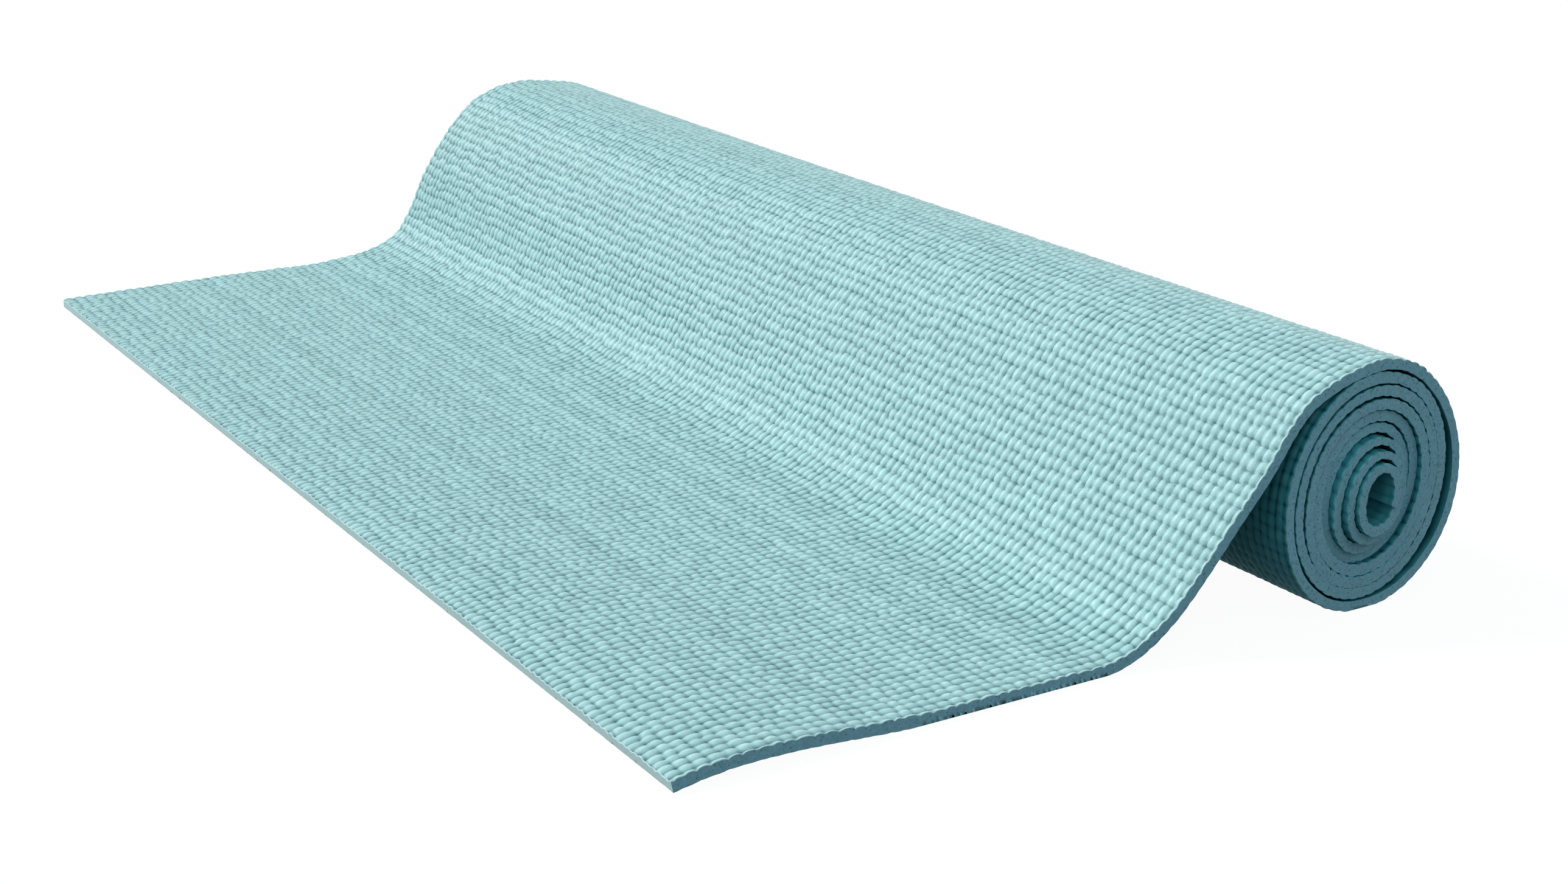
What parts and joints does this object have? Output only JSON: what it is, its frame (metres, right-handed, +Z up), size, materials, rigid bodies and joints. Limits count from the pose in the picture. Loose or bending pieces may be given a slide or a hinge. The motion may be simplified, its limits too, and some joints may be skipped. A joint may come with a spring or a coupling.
{
  "type": "yoga mat",
  "caption": "Teal foam yoga mat, mostly rolled up, with its free end laid out flat on the floor; pebbled non-slip texture on both faces.",
  "frame": {"origin": "centre of the footprint, on the floor under the middle of the mat as it lies", "axes": "+X from the free end towards the roll, +Y along the roll, +Z up"},
  "size_m": [0.3243, 0.61, 0.0956],
  "materials": {
    "yoga_foam_face": "matte with a slight sheen, pebbled",
    "yoga_scrim": "open mesh, hidden inside the foam",
    "yoga_foam_back": "matte with a slight sheen, pebbled"
  },
  "bodies": {
    "roll": {"roll_face_foam": "yoga_foam_face", "roll_scrim": "yoga_scrim", "roll_back_foam": "yoga_foam_back"},
    "rise": {"rise_face_foam": "yoga_foam_face", "rise_scrim": "yoga_scrim", "rise_back_foam": "yoga_foam_back"},
    "flap_inner": {"flap_inner_face_foam": "yoga_foam_face", "flap_inner_scrim": "yoga_scrim", "flap_inner_back_foam": "yoga_foam_back"},
    "flap_middle": {"flap_middle_face_foam": "yoga_foam_face", "flap_middle_scrim": "yoga_scrim", "flap_middle_back_foam": "yoga_foam_back"},
    "flap_end": {"flap_end_face_foam": "yoga_foam_face", "flap_end_scrim": "yoga_scrim", "flap_end_back_foam": "yoga_foam_back"}
  },
  "joints": [
    {"name": "top_bend", "type": "hinge", "parent": "roll", "child": "rise", "pos_m": [0.11719, 0, 0.09281], "axis": [0, 1, 0.003], "range_deg": [0, 25]},
    {"name": "foot_bend", "type": "hinge", "parent": "rise", "child": "flap_inner", "pos_m": [-0.00138, 0, 0.00711], "axis": [0.0038, 0.9999, 0.0112], "range_deg": [0, 45]},
    {"name": "middle_bend", "type": "hinge", "parent": "flap_inner", "child": "flap_middle", "pos_m": [-0.06369, 0, 0.00506], "axis": [0.0028, 1, 0.0045], "range_deg": [0, 30]},
    {"name": "end_bend", "type": "hinge", "parent": "flap_middle", "child": "flap_end", "pos_m": [-0.11199, 0, 0.00592], "axis": [0.0015, 1, -0.0017], "range_deg": [0, 30]}
  ]
}
